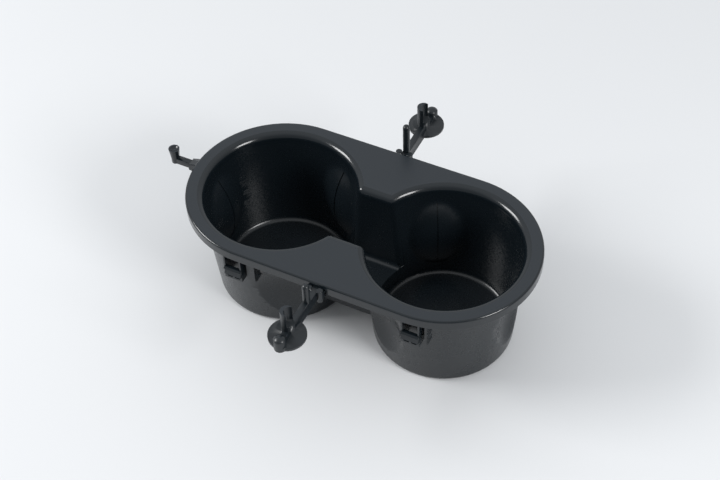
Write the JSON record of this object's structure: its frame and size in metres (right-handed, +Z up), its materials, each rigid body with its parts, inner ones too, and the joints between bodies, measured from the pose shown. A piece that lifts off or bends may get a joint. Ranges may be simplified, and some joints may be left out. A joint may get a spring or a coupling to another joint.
{
  "type": "console cup holder insert",
  "caption": "Drop-in console cup holder moulding: twin tapered wells joined by a channel under a flat rounded flange, with snap clips and runner tails still on.",
  "frame": {"origin": "middle of the box round the part, on the table plane under the cups", "axes": "+X along the row of wells, away from the peg tail; -Y to the front clips; +Z up"},
  "size_m": [0.2118, 0.1816, 0.0804],
  "materials": {
    "black_plastic": "as moulded: satin flange, glossy wells"
  },
  "bodies": {
    "root": {"cup_holder": "black_plastic"}
  },
  "joints": []
}
